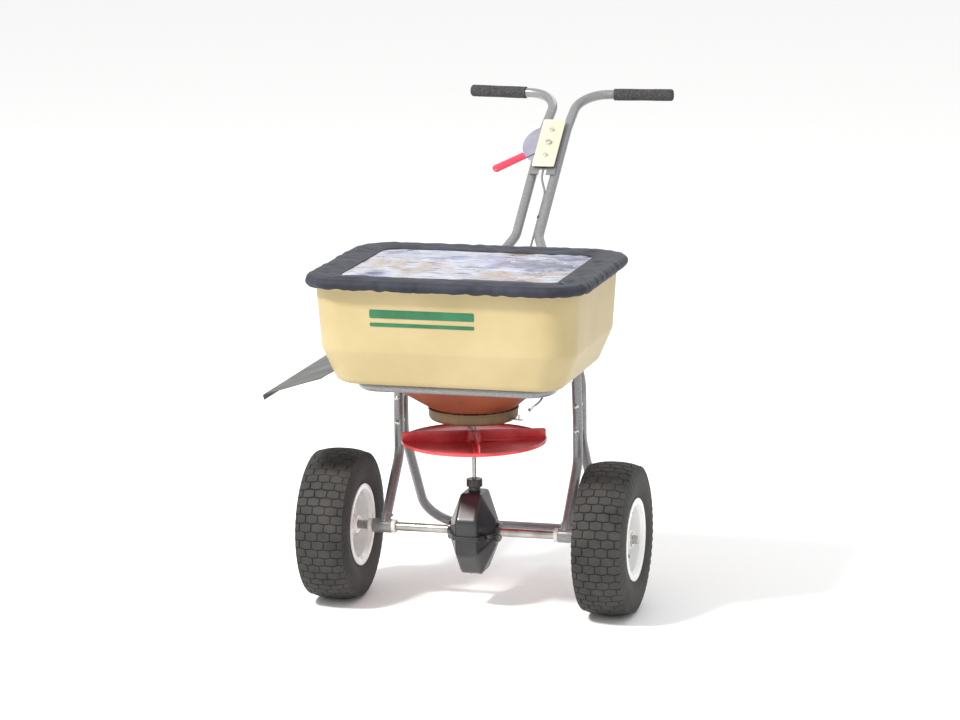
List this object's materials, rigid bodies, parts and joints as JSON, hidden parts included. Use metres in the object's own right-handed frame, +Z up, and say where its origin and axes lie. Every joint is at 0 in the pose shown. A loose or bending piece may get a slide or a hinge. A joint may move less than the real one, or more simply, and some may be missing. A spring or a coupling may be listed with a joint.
{
  "type": "broadcast spreader",
  "caption": "Walk-behind broadcast spreader: plastic hopper with rain cover on a tube frame, geared axle, red spinner and side deflector.",
  "frame": {"origin": "on the ground, in the middle of the bounding box footprint", "axes": "+Z up, +Y towards the operator at the back, +X towards the operator's left; the machine travels towards -Y"},
  "size_m": [0.7722, 1.1734, 1.019],
  "materials": {
    "hopper": "satin rotationally moulded polyethylene",
    "housing": "satin",
    "frame": "hammered powder coat",
    "tyre": "matte rubber",
    "rim": "gloss white",
    "black_plastic": "satin",
    "bright_steel": "zinc plated",
    "red_plastic": "satin",
    "grip": "foam",
    "control_plate": "satin",
    "scale": "satin",
    "sheet": "weathered",
    "cover": "coated vinyl fabric",
    "window": "clear flexible vinyl",
    "nylon": "satin",
    "gear": "machined"
  },
  "bodies": {
    "frame": {"hopper": "hopper", "hopper_funnel": "hopper", "gate_housing": "housing", "hopper_ring": "frame", "left_leg": "frame", "right_leg": "frame", "stand_tube": "frame", "left_handle_tube": "frame", "right_handle_tube": "frame", "left_grip": "grip", "right_grip": "grip", "control_bracket": "frame", "rate_scale": "scale", "control_plate": "control_plate", "lever_pivot_bolt": "bright_steel", "upper_plate_bolt": "bright_steel", "lower_plate_bolt": "bright_steel", "gearbox_upper_case": "black_plastic", "gearbox_lower_case": "black_plastic", "case_screw_1": "bright_steel", "case_screw_2": "bright_steel", "shaft_collar": "black_plastic", "cable_conduit": "black_plastic", "deflector_front_bracket": "frame", "deflector_rear_bracket": "frame", "deflector_hinge_rod": "bright_steel", "hopper_bolt_1": "bright_steel", "hopper_bolt_2": "bright_steel", "hopper_bolt_3": "bright_steel", "hopper_bolt_4": "bright_steel", "left_inner_bush": "nylon", "left_outer_bush": "nylon", "left_upper_leg_bolt": "bright_steel", "left_lower_leg_bolt": "bright_steel", "right_inner_bush": "nylon", "right_outer_bush": "nylon", "right_upper_leg_bolt": "bright_steel", "right_lower_leg_bolt": "bright_steel"},
    "drive_axle": {"axle": "bright_steel", "crown_gear": "gear", "left_rim": "rim", "left_tyre": "tyre", "left_valve_stem": "black_plastic", "drive_pin": "bright_steel", "left_axle_washer": "bright_steel", "right_axle_washer": "bright_steel"},
    "free_wheel": {"right_rim": "rim", "right_tyre": "tyre", "right_valve_stem": "black_plastic"},
    "spinner": {"spinner_disc": "red_plastic", "spinner_shaft": "bright_steel", "pinion_gear": "gear", "agitator": "gear"},
    "lever": {"rate_lever": "bright_steel", "lever_grip": "red_plastic"},
    "gate": {"gate_shutter": "bright_steel"},
    "gate_cable": {"gate_wire": "bright_steel"},
    "deflector": {"deflector_flap": "sheet"},
    "cover": {"rain_cover": "cover", "cover_window": "window"}
  },
  "joints": [
    {"name": "axle_spin", "type": "hinge", "parent": "frame", "child": "drive_axle", "pos_m": [0.0226, -0.30873, 0.165], "axis": [1, 0, 0], "continuous": true},
    {"name": "free_wheel_spin", "type": "hinge", "parent": "drive_axle", "child": "free_wheel", "pos_m": [-0.2829, -0.30873, 0.165], "axis": [1, 0, 0], "continuous": true},
    {"name": "spinner_spin", "type": "hinge", "parent": "frame", "child": "spinner", "pos_m": [0.0226, -0.30873, 0.363], "axis": [0, 0, 1], "continuous": true},
    {"name": "lever_swing", "type": "hinge", "parent": "frame", "child": "lever", "pos_m": [0.0226, 0.36731, 0.89991], "axis": [0, 0.6157, -0.788], "range_deg": [0, 55]},
    {"name": "gate_turn", "type": "hinge", "parent": "frame", "child": "gate", "pos_m": [0.0226, -0.30873, 0.419], "axis": [0, 0, 1], "range_deg": [0, 28]},
    {"name": "cable_pull", "type": "slide", "parent": "frame", "child": "gate_cable", "axis": [0, 1, 0], "range_m": [0, 0.0542]},
    {"name": "deflector_swing", "type": "hinge", "parent": "frame", "child": "deflector", "pos_m": [-0.2414, -0.30873, 0.533], "axis": [0, -1, 0], "range_deg": [0, 73]},
    {"name": "cover_lift", "type": "slide", "parent": "frame", "child": "cover", "axis": [0, 0, 1], "range_m": [0, 0.12]}
  ],
  "couplings": [
    {"joint": "spinner_spin", "follows": "axle_spin", "ratio": 3.6},
    {"joint": "gate_turn", "follows": "lever_swing", "ratio": 0.50909},
    {"joint": "cable_pull", "follows": "lever_swing", "m_per_rad": 0.056452}
  ]
}
